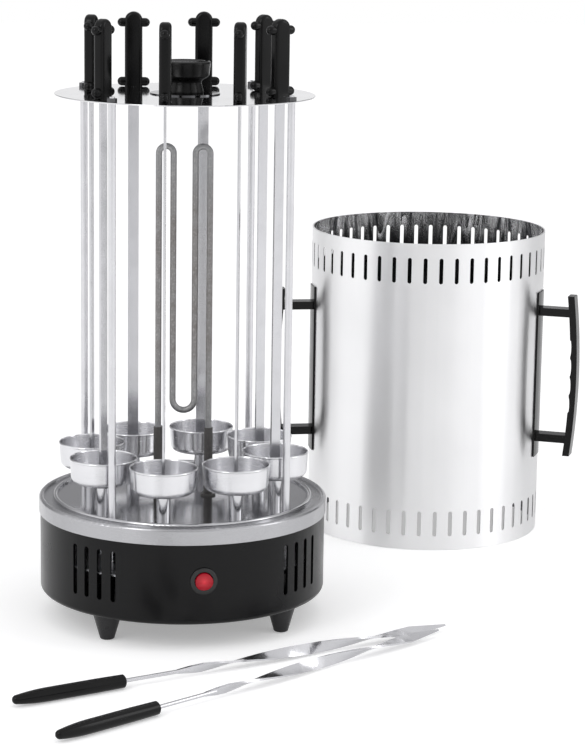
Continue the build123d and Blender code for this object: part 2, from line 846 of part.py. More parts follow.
with BuildPart() as heater_insulators:
    for side in leg_offsets:
        with BuildSketch(at_axis(deck_height - sleeve_tail)):
            with Locations(*spots(side, [heater_facing])):
                Circle(sleeve_radius)
        extrude(amount=sleeve_top - deck_height + sleeve_tail)
        with BuildSketch(at_axis(deck_height)):
            with Locations(*spots(side, [heater_facing])):
                Circle(sleeve_flange_radius)
        extrude(amount=sleeve_flange_height)
    with BuildSketch(level(spot(0, 0, plate_top), heater_facing)):
        RectangleRounded(terminal_length, terminal_width, terminal_width / 4)
    extrude(amount=terminal_height)
    for side in leg_offsets:
        with BuildSketch(at_axis(leg_end)):
            with Locations(*spots(side, [heater_facing])):
                Circle(heater_tube_radius)
        extrude(amount=sleeve_top - leg_end, mode=Mode.SUBTRACT)
keep(heater_insulators, "heater_insulators")

# ---------------------------------------------------------------- posts, spacers and nuts

with BuildPart() as support_posts:
    with BuildSketch(at_axis(deck_height)):
        with Locations(*spots(post_circle, post_angles)):
            Circle(post_radius)
    extrude(amount=disc_height - deck_height)
    with BuildSketch(at_axis(plate_bottom - nut_height - stud_end)):
        with Locations(*spots(post_circle, post_angles)):
            Circle(stud_radius)
    extrude(amount=disc_top + 2 * (nut_height + stud_end) - plate_bottom)
keep(support_posts, "support_posts")

with BuildPart() as plate_spacers:
    with BuildSketch(at_axis(plate_top)):
        with Locations(*spots(post_circle, post_angles)):
            Circle(spacer_radius)
            Circle(stud_hole_radius, mode=Mode.SUBTRACT)
    extrude(amount=rim_flange_bottom - plate_top)
keep(plate_spacers, "plate_spacers")

with BuildPart() as post_nuts:
    for height, rise in ((plate_bottom, -nut_height), (disc_top, nut_height)):
        with BuildSketch(at_axis(height)):
            with Locations(*spots(post_circle, post_angles)):
                RegularPolygon(nut_flats / 2, 6, major_radius=False)
                Circle(stud_radius, mode=Mode.SUBTRACT)
        extrude(amount=rise)
keep(post_nuts, "post_nuts")

# ---------------------------------------------------------------- top disc, washer and knob

with BuildPart() as top_disc:
    with BuildSketch(at_axis(disc_height)):
        Circle(disc_radius)
        with Locations(*spots(skewer_circle, skewer_angles)):
            Circle(disc_hole_radius, mode=Mode.SUBTRACT)
        with Locations(*spots(post_circle, post_angles)):
            Circle(stud_hole_radius, mode=Mode.SUBTRACT)
    extrude(amount=disc_thickness)
    fillet(top_disc.edges().filter_by(GeomType.CIRCLE).sort_by(SortBy.RADIUS)[-2:], disc_thickness * 0.4)
keep(top_disc, "top_disc")

washer_top = disc_top + washer_thickness

with BuildPart() as knob_washer:
    with BuildSketch(at_axis(disc_top)):
        Circle(washer_radius)
    extrude(amount=washer_thickness)
keep(knob_washer, "knob_washer")

with BuildPart() as top_knob:
    with BuildSketch(upright(spot(0, 0, washer_top))):
        edge = knob_edge_radius
        top = knob_height
        with BuildLine():
            k1 = Polyline((0, 0), (knob_foot_radius, 0), (knob_foot_radius, knob_foot_radius * 0.1))
            k2 = Line(k1 @ 1, (knob_neck_radius, knob_neck_height))
            k3 = Line(k2 @ 1, (knob_radius - edge, knob_skirt_height))
            k4 = Line(k3 @ 1, (knob_radius, top - edge))
            k5 = ThreePointArc(
                k4 @ 1,
                (knob_radius - edge * (1 - cos(radians(45))), top - edge * (1 - sin(radians(45)))),
                (knob_radius - edge, top),
            )
            k6 = Line(k5 @ 1, (knob_dish_radius, top))
            k7 = TangentArc((0, top - knob_dish_depth), k6 @ 1, tangent=(1, 0))
            Line(k7 @ 0, k1 @ 0)
        make_face()
    revolve(axis=grill_axis)
keep(top_knob, "top_knob")

# ---------------------------------------------------------------- rocker switch

rocker_radius = switch_bore_radius - rocker_gap
rocker_pivot = spot_face + Vector(0, -bezel_flange + rocker_pivot_depth, 0)
pin_plane = Plane(origin=rocker_pivot, x_dir=(0, 1, 0), z_dir=(1, 0, 0))

with BuildPart() as switch_body:
    with BuildSketch(front_plane):
        Circle(bezel_radius)
    extrude(amount=bezel_flange)
    fillet(switch_body.faces().sort_by(Axis.Y)[0].edges(), bezel_flange * 0.35)
    with BuildSketch(front_plane):
        Circle(switch_body_radius)
    extrude(amount=-switch_body_length)
    with BuildSketch(front_plane.offset(bezel_flange)):
        Circle(switch_bore_radius)
    extrude(amount=switch_back_wall - bezel_flange - switch_body_length, mode=Mode.SUBTRACT)
    # blind holes for the rocker's pins
    with BuildSketch(pin_plane):
        Circle(pivot_pin_radius + bearing_clearance)
    extrude(amount=switch_bore_radius + pivot_pin_length + bearing_clearance, both=True, mode=Mode.SUBTRACT)
    with BuildSketch(front_plane.offset(-switch_body_length)):
        with Locations((-switch_body_radius / 2, 0), (switch_body_radius / 2, 0)):
            Rectangle(lug_thickness, lug_width)
    extrude(amount=-lug_length)
keep(switch_body, "switch_body")

rocker_plane = Plane(origin=rocker_pivot, x_dir=(1, 0, 0), z_dir=(0, -1, 0)).rotated((rocker_tilt, 0, 0))
rocker_front = rocker_pivot_depth + rocker_stand_out

with BuildPart() as switch_rocker:
    with BuildSketch(rocker_plane.offset(rocker_front - rocker_depth)):
        Circle(rocker_radius)
    extrude(amount=rocker_depth + rocker_crown)
    # the front is a shallow barrel
    side_plane = Plane(origin=rocker_plane.origin, x_dir=rocker_plane.z_dir, z_dir=rocker_plane.x_dir)
    with BuildSketch(side_plane):
        with BuildLine():
            r1 = ThreePointArc(
                (rocker_front, -rocker_radius - rocker_gap),
                (rocker_front + rocker_crown, 0),
                (rocker_front, rocker_radius + rocker_gap),
            )
            Polyline(
                r1 @ 1,
                (rocker_front - 2 * rocker_depth, rocker_radius + rocker_gap),
                (rocker_front - 2 * rocker_depth, -rocker_radius - rocker_gap),
                r1 @ 0,
            )
        make_face()
    extrude(amount=2 * rocker_radius, both=True, mode=Mode.INTERSECT)
    # the pins that it tilts on
    with BuildSketch(pin_plane):
        Circle(pivot_pin_radius)
    extrude(amount=switch_bore_radius + pivot_pin_length, both=True)
keep(switch_rocker, "switch_rocker")

# ---------------------------------------------------------------- cord gland

with BuildPart() as cord_gland:
    seat_plane = back_plane.offset(-bezel_seat_depth)
    with BuildSketch(seat_plane):
        Circle(gland_flange_radius)
    extrude(amount=gland_flange_thickness)
    fillet(cord_gland.faces().sort_by(Axis.Y)[-1].edges(), gland_flange_thickness * 0.4)
    with BuildSketch(seat_plane.offset(-gland_tail_length)):
        Circle(gland_body_radius)
    extrude(amount=gland_tail_length + gland_flange_thickness)
    with BuildSketch(seat_plane.offset(gland_flange_thickness)):
        Circle(gland_body_radius)
    with BuildSketch(seat_plane.offset(gland_flange_thickness + gland_nose_length)):
        Circle(gland_nose_radius)
    loft()
    with BuildSketch(seat_plane.offset(-gland_tail_length)):
        Circle(gland_bore_radius)
    extrude(
        amount=gland_tail_length + gland_flange_thickness + gland_nose_length,
        mode=Mode.SUBTRACT,
    )
keep(cord_gland, "cord_gland")

# ---------------------------------------------------------------- loose cover

cover_axis = Axis(cover_middle, (0, 0, 1))
slot_planes = []
for height in (slot_margin + slot_length / 2, cover_length - slot_margin - slot_length / 2):
    for k in range(cover_slots):
        facing = cover_front + 360 / cover_slots * k
        slot_planes.append(
            Plane(
                origin=cover_middle + outward(facing) * cover_radius + Vector(0, 0, height),
                x_dir=outward(facing).cross(Vector(0, 0, 1)),
                z_dir=outward(facing),
            )
        )

with BuildPart() as cover_shell:
    hem = cover_hem_height
    hem_inner = cover_radius - cover_hem_wall
    wall_inner = cover_radius - cover_wall
    with BuildSketch(upright(cover_middle)):
        with BuildLine():
            Polyline(
                (hem_inner, 0),
                (cover_radius, 0),
                (cover_radius, cover_length),
                (hem_inner, cover_length),
                (hem_inner, cover_length - hem),
                (wall_inner, cover_length - hem),
                (wall_inner, hem),
                (hem_inner, hem),
                close=True,
            )
        make_face()
    revolve(axis=cover_axis)
    with BuildSketch(*slot_planes):
        SlotOverall(slot_length, slot_width, rotation=90)
    extrude(amount=cover_wall * 3, both=True, mode=Mode.SUBTRACT)
keep(cover_shell, "cover_shell")

handle_middle = handle_arm_low + handle_arm_gap / 2
grip_half = handle_arm_gap / 2 + grip_overhang
grip_inner = cover_radius + grip_reach

with BuildPart() as cover_handles:
    for side in (-1, 1):
        facing = cover_front + side * handle_side_angle
        middle = cover_middle + Vector(0, 0, handle_middle)
        side_plane = upright(middle, facing)
        # the grip, bowed outwards, with finger grooves on its inner side
        with BuildSketch(side_plane):
            with BuildLine():
                g1 = ThreePointArc(
                    (grip_inner, -grip_half),
                    (grip_inner + grip_bow, 0),
                    (grip_inner, grip_half),
                )
                g2 = Line(g1 @ 1, (grip_inner + grip_thickness, grip_half))
                g3 = ThreePointArc(
                    g2 @ 1,
                    (grip_inner + grip_thickness + grip_bow, 0),
                    (grip_inner + grip_thickness, -grip_half),
                )
                Line(g3 @ 1, g1 @ 0)
            make_face()
            for k in range(groove_count):
                rise = (k - (groove_count - 1) / 2) * groove_pitch
                bow = grip_bow * (1 - (rise / grip_half) ** 2)
                with Locations((grip_inner + bow, rise)):
                    Ellipse(groove_depth, groove_pitch * 0.44, mode=Mode.SUBTRACT)
        extrude(amount=grip_width / 2, both=True)
        # arms from the backing strip to the grip
        arm_start = cover_radius + backing_thickness - arm_sink
        arm_bow = grip_bow * (1 - (handle_arm_gap / 2 / grip_half) ** 2)
        with BuildSketch(side_plane):
            for arm in (-1, 1):
                with Locations((arm_start, arm * handle_arm_gap / 2)):
                    Rectangle(
                        grip_inner + arm_bow + grip_thickness / 2 - arm_start,
                        handle_arm_thickness,
                        align=(Align.MIN, Align.CENTER),
                    )
        extrude(amount=grip_width / 2, both=True)
        # the strip that follows the shell
        half_angle = backing_width / 2 / cover_radius
        strip_outer = cover_radius + backing_thickness
        strip_corners = [
            (radius * cos(a), radius * sin(a))
            for radius, a in (
                (cover_radius, -half_angle),
                (cover_radius, 0),
                (cover_radius, half_angle),
                (strip_outer, half_angle),
                (strip_outer, 0),
                (strip_outer, -half_angle),
            )
        ]
        with BuildSketch(level(middle - Vector(0, 0, backing_length / 2), facing)):
            with BuildLine():
                s1 = ThreePointArc(*strip_corners[:3])
                s2 = Line(s1 @ 1, strip_corners[3])
                s3 = ThreePointArc(*strip_corners[3:])
                Line(s3 @ 1, s1 @ 0)
            make_face()
        extrude(amount=backing_length)
keep(cover_handles, "cover_handles")

# ---------------------------------------------------------------- loose skewers

for letter, (end_x, end_y, heading) in loose_places.items():
    along = Vector(cos(radians(heading)), sin(radians(heading)), 0)
    across = Vector(0, 0, 1).cross(along)
    start = Vector(grill_x + end_x, grill_y + end_y, loose_handle_radius)

    def cut_across(distance, twist=0.0, origin=start, way=along, side=across):
        """Plane square to the skewer, turned about it by the twist."""
        x_dir = side * cos(radians(twist)) + Vector(0, 0, 1) * sin(radians(twist))
        return Plane(origin=origin + way * distance, x_dir=x_dir, z_dir=way)

    shaft_start = loose_handle_length - loose_tang_length
    blade_start = loose_handle_length + shaft_length
    twist_steps = round((loose_length - loose_tip_length - blade_start) / twist_step)
    twist_length = loose_length - loose_tip_length - blade_start
    with BuildPart() as loose_blade:
        with BuildSketch(cut_across(shaft_start)):
            Circle(shaft_radius)
        extrude(amount=blade_start + twist_step - shaft_start)
        for step in range(twist_steps + 1):
            width = min(blade_width, 2 * shaft_radius + (blade_width - 2 * shaft_radius) * step / flare_steps)
            distance = blade_start + twist_length * step / twist_steps
            with BuildSketch(cut_across(distance, 90 + twist_per_step * step)):
                Rectangle(width, loose_blade_thickness)
        loft(ruled=True)
        last_turn = 90 + twist_per_step * twist_steps
        with BuildSketch(cut_across(loose_length - loose_tip_length, last_turn)):
            Rectangle(blade_width, loose_blade_thickness)
        with BuildSketch(cut_across(loose_length, last_turn + twist_per_step)):
            Rectangle(loose_tip_width, loose_blade_thickness / 2)
        loft(ruled=True)
    keep(loose_blade, f"loose_skewer_{letter}_blade")

    with BuildPart() as loose_handle:
        side_plane = Plane(origin=start, x_dir=along, z_dir=along.cross(Vector(0, 0, 1)))
        with BuildSketch(side_plane):
            with BuildLine():
                n1 = ThreePointArc(
                    (0, 0),
                    (loose_nose_radius * 0.3, loose_nose_radius * 0.7),
                    (loose_nose_radius, loose_nose_radius),
                )
                n2 = TangentArc(
                    (loose_nose_length, loose_handle_radius), n1 @ 1, tangent=(-1, 0)
                )
                Polyline(
                    n2 @ 0,
                    (loose_handle_length * 0.75, loose_handle_radius),
                    (loose_handle_length - 1, loose_front_radius),
                    (loose_handle_length, loose_front_radius - 1),
                    (loose_handle_length, shaft_radius),
                    (shaft_start, shaft_radius),
                    (shaft_start, 0),
                    (0, 0),
                )
            make_face()
        revolve(axis=Axis(start, along))
    keep(loose_handle, f"loose_skewer_{letter}_handle")
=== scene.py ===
"""Looks for the electric skewer grill, in metres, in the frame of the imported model."""

import json
from math import atan2, cos, pi, radians, sin, tau

import bmesh
import bpy
from mathutils import Matrix, Vector

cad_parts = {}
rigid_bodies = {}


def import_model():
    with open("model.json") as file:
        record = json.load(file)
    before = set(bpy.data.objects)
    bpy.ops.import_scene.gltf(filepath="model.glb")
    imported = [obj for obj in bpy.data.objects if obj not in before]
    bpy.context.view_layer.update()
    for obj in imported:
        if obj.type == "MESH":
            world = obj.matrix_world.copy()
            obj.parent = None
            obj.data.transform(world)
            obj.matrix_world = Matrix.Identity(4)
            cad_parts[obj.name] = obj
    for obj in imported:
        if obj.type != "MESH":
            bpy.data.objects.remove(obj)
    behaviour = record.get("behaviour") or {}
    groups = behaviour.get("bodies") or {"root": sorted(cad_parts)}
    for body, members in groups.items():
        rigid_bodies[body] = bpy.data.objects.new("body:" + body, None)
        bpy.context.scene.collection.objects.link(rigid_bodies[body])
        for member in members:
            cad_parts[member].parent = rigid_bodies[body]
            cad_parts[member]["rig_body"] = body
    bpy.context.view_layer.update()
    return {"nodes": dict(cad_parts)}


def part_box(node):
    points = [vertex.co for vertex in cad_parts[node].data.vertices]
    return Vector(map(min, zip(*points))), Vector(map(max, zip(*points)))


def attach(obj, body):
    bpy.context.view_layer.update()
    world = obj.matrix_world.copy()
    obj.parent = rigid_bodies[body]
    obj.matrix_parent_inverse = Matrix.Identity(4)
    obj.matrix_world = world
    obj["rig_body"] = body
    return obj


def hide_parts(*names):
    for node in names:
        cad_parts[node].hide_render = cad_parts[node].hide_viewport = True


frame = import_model()
nodes = frame["nodes"]

# measures that the patterns follow
SKEWER_CIRCLE = 0.078
COVER_RADIUS = 0.11
COVER_INNER_FACE = 0.1093
# heights over which the painted highlight streaks inside the cover fade in
COVER_PAINTED_HIGHLIGHT_FROM, COVER_PAINTED_HIGHLIGHT_TO = 0.25, 0.276
HEATER_HOT_FROM, HEATER_HOT_TO = 0.22, 0.33
HEATER_COOL_BELOW, HEATER_COOL_ABOVE = 0.15, 0.4
# reach of the painted glow on the rocker
ROCKER_PAINTED_GLOW = 0.0085

# meshes: metres, then degrees
MERGE_WITHIN = 0.000002
FLAT_WITHIN, SHARP_FROM, EASED_FROM = 0.4, 35, 38

# the camera: pixels of the photograph, millimetres, metres, then degrees
FOCAL_LENGTH, PHOTO_HEIGHT = 2474.5, 755
SENSOR = 36
CAMERA_FROM_GRILL = Vector((-0.2905, -1.9951, 0.6138))
CAMERA_TURN, CAMERA_DOWN, CAMERA_ROLL = -10.86, 11.57, 0.85

# the levels of floor and room
FLOOR_SHADE = 0.86
FLOOR_GLOW_SEEN, FLOOR_GLOW_MIRRORED = 0.32, 0.24
FIELD_BEHIND = (0.36, 0.36, 0.37, 1)
OVERHEAD = (0.92, 0.92, 0.93, 1)
WHITE = (1, 1, 1, 1)


def middle(node):
    low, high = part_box(node)
    return (low + high) / 2


grill = middle("top_knob").xy.to_3d()
first = middle("drip_cup_1").xy.to_3d() - grill
ring_turn = atan2(first.x, -first.y) - pi / 8
cover = middle("cover_shell").xy.to_3d()
places = range(1, 9)

# ---------------------------------------------------------------- camera

camera_data = bpy.data.cameras.new("camera")
camera_data.lens = FOCAL_LENGTH / PHOTO_HEIGHT * SENSOR
camera_data.sensor_width = SENSOR
camera_data.clip_start = 0.05
camera_data.clip_end = 30
camera = bpy.data.objects.new("camera", camera_data)
camera.location = grill + CAMERA_FROM_GRILL
aim = Matrix.Rotation(radians(CAMERA_TURN), 3, "Z")
aim = aim @ Matrix.Rotation(radians(90 - CAMERA_DOWN), 3, "X")
aim = aim @ Matrix.Rotation(radians(CAMERA_ROLL), 3, "Z")
camera.rotation_euler = aim.to_euler()
bpy.context.scene.collection.objects.link(camera)
bpy.context.scene.camera = camera
bpy.context.scene.view_settings.view_transform = "Standard"

# ---------------------------------------------------------------- shader helpers


def put(tree, kind, *values, **named):
    """Add a node. Values go to its inputs in order, names to its settings or its inputs."""
    node = tree.nodes.new("ShaderNode" + kind)
    sockets = {}
    for key, value in named.items():
        if hasattr(node, key):
            setattr(node, key, value)
        else:
            sockets[key.replace("_", " ")] = value
    pairs = list(zip(node.inputs, values)) + [(node.inputs[k], v) for k, v in sockets.items()]
    for socket, value in pairs:
        if isinstance(value, bpy.types.NodeSocket):
            tree.links.new(value, socket)
        elif value is not None:
            socket.default_value = value
    return node


def math(tree, operation, *values):
    return put(tree, "Math", *values, operation=operation).outputs[0]


def blend(tree, factor, a, b):
    """Mix two colours by a factor."""
    values = (factor, None, None, None, None, None, a, b)
    return put(tree, "Mix", *values, data_type="RGBA").outputs[2]


class Finish:
    """A material with one principled shader and helpers for its patterns."""

    def __init__(self, name, colour, rough, metal=0.0, **fixed):
        self.material = bpy.data.materials.new(name)
        self.material.use_nodes = True
        self.tree = self.material.node_tree
        self.tree.nodes.clear()
        self.shader = self.put(
            "BsdfPrincipled", Base_Color=(*colour, 1), Roughness=rough, Metallic=metal
        )
        for key, value in fixed.items():
            self.shader.inputs[key.replace("_", " ")].default_value = value
        out = self.put("OutputMaterial")
        self.link(self.shader.outputs[0], out.inputs[0])
        self.colour = colour
        self.normal = None

    def put(self, kind, *values, **named):
        return put(self.tree, kind, *values, **named)

    def link(self, a, b):
        self.tree.links.new(a, b)

    def math(self, operation, *values):
        return math(self.tree, operation, *values)

    def times(self, a, b):
        return self.math("MULTIPLY", a, b)

    def weigh(self, a, b, share):
        """A share of a with the rest of b."""
        return self.math("ADD", self.times(a, share), self.times(b, 1 - share))

    def fit(self, value, low, high, to_low=0.0, to_high=1.0):
        return self.put("MapRange", value, low, high, to_low, to_high).outputs[0]

    def place(self, centre=(0, 0, 0)):
        """Object coordinates counted from a point."""
        coords = self.put("TexCoord").outputs["Object"]
        return self.put("VectorMath", coords, tuple(centre), operation="SUBTRACT").outputs[0]

    def split(self, vector):
        return self.put("SeparateXYZ", vector).outputs

    def join(self, x, y, z):
        return self.put("CombineXYZ", x, y, z).outputs[0]

    def scaled(self, vector, scale):
        return self.put("VectorMath", vector, tuple(scale), operation="MULTIPLY").outputs[0]

    def round_about(self, vector):
        """Angle, radius and height about the vector's upright axis. The angle's seam is at +y."""
        x, y, z = self.split(vector)
        angle = self.math("ARCTAN2", x, self.times(y, -1.0))
        radius = self.math("SQRT", self.math("ADD", self.times(x, x), self.times(y, y)))
        return angle, radius, z

    def nearest_place(self):
        """Coordinates from the nearest of the eight skewer places."""
        angle, radius, z = self.round_about(self.place(grill))
        turned = self.math("SUBTRACT", angle, ring_turn)
        local = self.math("SUBTRACT", self.math("FLOORED_MODULO", turned, pi / 4), pi / 8)
        out = self.times(radius, self.math("COSINE", local))
        x = self.math("SUBTRACT", out, SKEWER_CIRCLE)
        y = self.times(radius, self.math("SINE", local))
        return self.join(x, y, z)

    def noise(self, vector, scale, detail=3.0, rough=0.5, distortion=0.0):
        return self.put(
            "TexNoise", Vector=vector, Scale=scale, Detail=detail, Roughness=rough,
            Distortion=distortion,
        ).outputs[0]

    def cells(self, vector, scale):
        return self.put("TexVoronoi", Vector=vector, Scale=scale).outputs[0]

    def tint(self, factor, other):
        """Mix the base colour with another by a factor."""
        base = self.shader.inputs["Base Color"]
        current = base.links[0].from_socket if base.links else (*self.colour, 1)
        self.link(blend(self.tree, factor, current, (*other, 1)), base)

    def rough(self, value, low, high):
        self.link(self.fit(value, 0.3, 0.7, low, high), self.shader.inputs["Roughness"])

    def bump(self, height, strength, distance):
        node = self.put("Bump", Strength=strength, Distance=distance, Height=height)
        if self.normal:
            self.link(self.normal, node.inputs["Normal"])
        self.normal = node.outputs[0]
        self.link(self.normal, self.shader.inputs["Normal"])
        return self


# ---------------------------------------------------------------- finishes


def enamel():
    """High-gloss black enamel on pressed sheet."""
    f = Finish("black_enamel", (0.002, 0.002, 0.0023), 0.14, Specular_IOR_Level=0.22)
    at = f.place(grill)
    broad, fine = f.noise(at, 14, 3), f.noise(at, 900, 2)
    f.tint(f.fit(broad, 0.35, 0.75, 0, 0.6), (0.005, 0.0052, 0.0056))
    f.rough(broad, 0.18, 0.3)
    f.bump(fine, 0.08, 0.0002).bump(broad, 0.12, 0.0012)
    return f.material


def lathe_steel(name, colour, low, high, centre, rings, strength):
    """Steel with the fine rings of turning. Without a centre they run round each skewer place."""
    f = Finish(name, colour, low, 1.0)
    at = f.place(centre) if centre else f.nearest_place()
    angle, radius, z = f.round_about(at)
    lines = f.noise(f.join(f.times(angle, 0.0006), radius, z), rings, 4, 0.7)
    smear = f.noise(f.place(), 38, 4, 0.6)
    f.tint(f.fit(smear, 0.4, 0.75, 0, 0.3), tuple(c * 0.82 for c in colour))
    f.rough(f.weigh(lines, smear, 0.5), low, high)
    f.bump(lines, strength, 0.00012).bump(f.noise(f.place(), 22, 2), 0.05, 0.0015)
    return f


def draw_upright(f, amount):
    """Fine lines round a wall draw its reflections out upright."""
    f.shader.inputs["Anisotropic"].default_value = amount
    f.shader.inputs["Anisotropic Rotation"].default_value = 0.25
    tangent = f.put("Tangent", direction_type="RADIAL", axis="Z").outputs[0]
    f.link(tangent, f.shader.inputs["Tangent"])
    return f.material


def rim_steel():
    f = lathe_steel("satin_steel", (0.46, 0.46, 0.475), 0.22, 0.34, grill, 4200, 0.22)
    return draw_upright(f, 0.8)


def sheet_outside_and_in():
    """The cover: a polished face outside, a crinkled reflector inside."""
    f = Finish("cover_steel", (0.94, 0.94, 0.945), 0.2, 1.0)
    at = f.place(cover)
    angle, radius, z = f.round_about(at)
    x, y, _ = f.split(at)
    normal = f.split(f.put("NewGeometry").outputs["True Normal"])
    faces_out = f.math("ADD", f.times(x, normal[0]), f.times(y, normal[1]))
    turned_in = f.math("LESS_THAN", faces_out, 0.0)
    inside = f.times(turned_in, f.math("LESS_THAN", radius, COVER_INNER_FACE))
    arc = f.times(angle, COVER_RADIUS)

    grain = f.noise(f.join(arc, f.times(z, 0.012), 0.0), 5200, 4, 0.65)
    clouds = f.noise(at, 9, 3)
    f.tint(f.fit(clouds, 0.35, 0.75, 0, 0.4), (0.87, 0.87, 0.88))

    # inside it is painted dark as shade, with painted highlight streaks towards the upper edge
    painted_highlight_streaks = f.noise(f.join(arc, f.times(z, 0.2), 7.0), 75, 3, 0.6, 0.8)
    painted_highlight = f.times(f.fit(z, COVER_PAINTED_HIGHLIGHT_FROM, COVER_PAINTED_HIGHLIGHT_TO), f.fit(painted_highlight_streaks, 0.4, 0.52))
    # painted shade: the inside of the cover is tinted dark; painted highlight: pale streaks near
    # its top
    f.tint(inside, (0.16, 0.16, 0.17))
    f.tint(f.times(inside, painted_highlight), (0.95, 0.95, 0.96))

    outside_rough = f.fit(f.weigh(grain, clouds, 0.5), 0.3, 0.7, 0.34, 0.42)
    outside_rough = f.times(outside_rough, f.math("SUBTRACT", 1.0, inside))
    f.link(f.math("ADD", outside_rough, f.times(inside, 0.14)), f.shader.inputs["Roughness"])
    f.bump(grain, 0.05, 0.0001)
    folds = f.noise(f.join(arc, f.times(z, 0.16), 3.0), 60, 2, 0.5, 0.8)
    creases = f.math("ABSOLUTE", f.math("SUBTRACT", folds, 0.5))
    f.bump(f.times(creases, inside), 1.0, 0.006)
    return draw_upright(f, 0.95)


def mirror(name, colour, low, high, centre=None):
    f = lathe_steel(name, colour, low, high, centre, 2600, 0.035)
    return f.material


def spun_cup():
    f = lathe_steel("cup_steel", (0.78, 0.78, 0.8), 0.2, 0.3, None, 2600, 0.035)
    return draw_upright(f, 0.9)


def moulded(name, colour, rough, grain, strength, shine=0.35):
    """Moulded plastic with a fine grain and softly uneven gloss."""
    f = Finish(name, colour, rough, Specular_IOR_Level=shine)
    at = f.place()
    uneven = f.noise(at, 45, 3)
    f.tint(f.fit(uneven, 0.35, 0.75, 0, 0.7), tuple(c * 1.7 + 0.001 for c in colour))
    f.rough(uneven, rough * 0.8, rough * 1.35)
    f.bump(f.noise(at, grain, 2, 0.6), strength, 0.0002)
    return f.material


def rocker_red():
    f = Finish("red_rocker", (0.34, 0.002, 0.012), 0.14, Specular_IOR_Level=0.35)
    at = f.place(middle("switch_rocker"))
    x, y, z = f.split(at)
    reach = f.math("SQRT", f.math("ADD", f.times(x, x), f.times(z, z)))
    # painted glow: the centre of the rocker is painted lighter red, fading outwards
    glow = f.fit(reach, 0.0, ROCKER_PAINTED_GLOW, 1.0, 0.0)
    f.tint(f.times(f.times(glow, glow), 0.8), (0.85, 0.05, 0.07))
    f.bump(f.noise(at, 1500, 2), 0.05, 0.0001)
    return f.material


def heater_metal():
    """Oxidised sheath: grey, warmer and duller where it gets hottest."""
    f = Finish("heater_tube", (0.3, 0.305, 0.31), 0.36, 1.0)
    at = f.place(grill)
    z = f.split(at)[2]
    hot = f.times(
        f.fit(z, HEATER_COOL_BELOW, HEATER_HOT_FROM), f.fit(z, HEATER_COOL_ABOVE, HEATER_HOT_TO)
    )
    blotch = f.noise(at, 70, 4, 0.65)
    f.tint(f.times(hot, f.fit(blotch, 0.3, 0.7, 0.25, 0.8)), (0.19, 0.17, 0.16))
    f.tint(f.fit(f.noise(at, 620, 3), 0.5, 0.72, 0, 0.5), (0.46, 0.45, 0.44))
    f.rough(blotch, 0.3, 0.5)
    f.bump(f.noise(at, 1600, 3), 0.25, 0.0002)
    return f.material


def ceramic():
    f = Finish("dark_ceramic", (0.055, 0.052, 0.05), 0.42, Coat_Weight=0.3, Coat_Roughness=0.25)
    at = f.place(grill)
    speck = f.cells(at, 900)
    f.tint(f.fit(speck, 0.15, 0.5, 0.6, 0), (0.12, 0.11, 0.1))
    f.bump(f.noise(at, 700, 4), 0.3, 0.0003)
    return f.material


def nylon():
    f = Finish(
        "gear_nylon", (0.78, 0.76, 0.7), 0.42, Subsurface_Weight=0.15, Subsurface_Scale=0.004
    )
    at = f.place()
    flow = f.noise(at, 60, 4)
    f.tint(f.fit(flow, 0.35, 0.7, 0, 0.5), (0.7, 0.67, 0.6))
    f.bump(f.noise(at, 1200, 3), 0.12, 0.0002)
    return f.material


def cast_alloy():
    f = Finish("cast_plate", (0.58, 0.59, 0.61), 0.5, 1.0)
    at = f.place()
    skin = f.noise(at, 650, 5, 0.65)
    f.tint(f.fit(f.noise(at, 16, 3), 0.35, 0.7, 0, 0.5), (0.43, 0.44, 0.46))
    f.rough(skin, 0.42, 0.62)
    f.bump(skin, 0.4, 0.0004)
    return f.material


def plated(name, colour, low, high):
    """Small plated or blackened steel parts."""
    f = Finish(name, colour, low, 1.0)
    at = f.place()
    spots = f.noise(at, 420, 4)
    f.tint(f.fit(spots, 0.4, 0.7, 0, 0.5), tuple(c * 0.7 for c in colour))
    f.rough(spots, low, high)
    f.bump(spots, 0.15, 0.0002)
    return f.material


def drawn_steel(name, colour, low, high):
    """Rods and blades, with fine lines along their length."""
    f = Finish(name, colour, low, 1.0)
    lines = f.noise(f.scaled(f.place(), (1, 1, 0.02)), 3600, 3, 0.6)
    marks = f.noise(f.place(), 55, 4, 0.6)
    f.tint(f.fit(marks, 0.42, 0.75, 0, 0.35), tuple(c * 0.8 for c in colour))
    f.rough(f.weigh(lines, marks, 0.4), low, high)
    f.bump(lines, 0.06, 0.0001)
    return f.material


black_enamel = enamel()
satin_steel = rim_steel()
cover_steel = sheet_outside_and_in()
deck_steel = mirror("deck_mirror", (0.52, 0.52, 0.535), 0.08, 0.16, grill)
disc_steel = mirror("disc_mirror", (0.76, 0.76, 0.77), 0.05, 0.12, grill)
cup_steel = spun_cup()
stem_steel = mirror("stem_steel", (0.62, 0.62, 0.64), 0.08, 0.16)
post_steel = drawn_steel("post_steel", (0.7, 0.7, 0.72), 0.24, 0.36)
blade_steel = drawn_steel("blade_steel", (0.62, 0.62, 0.64), 0.14, 0.26)
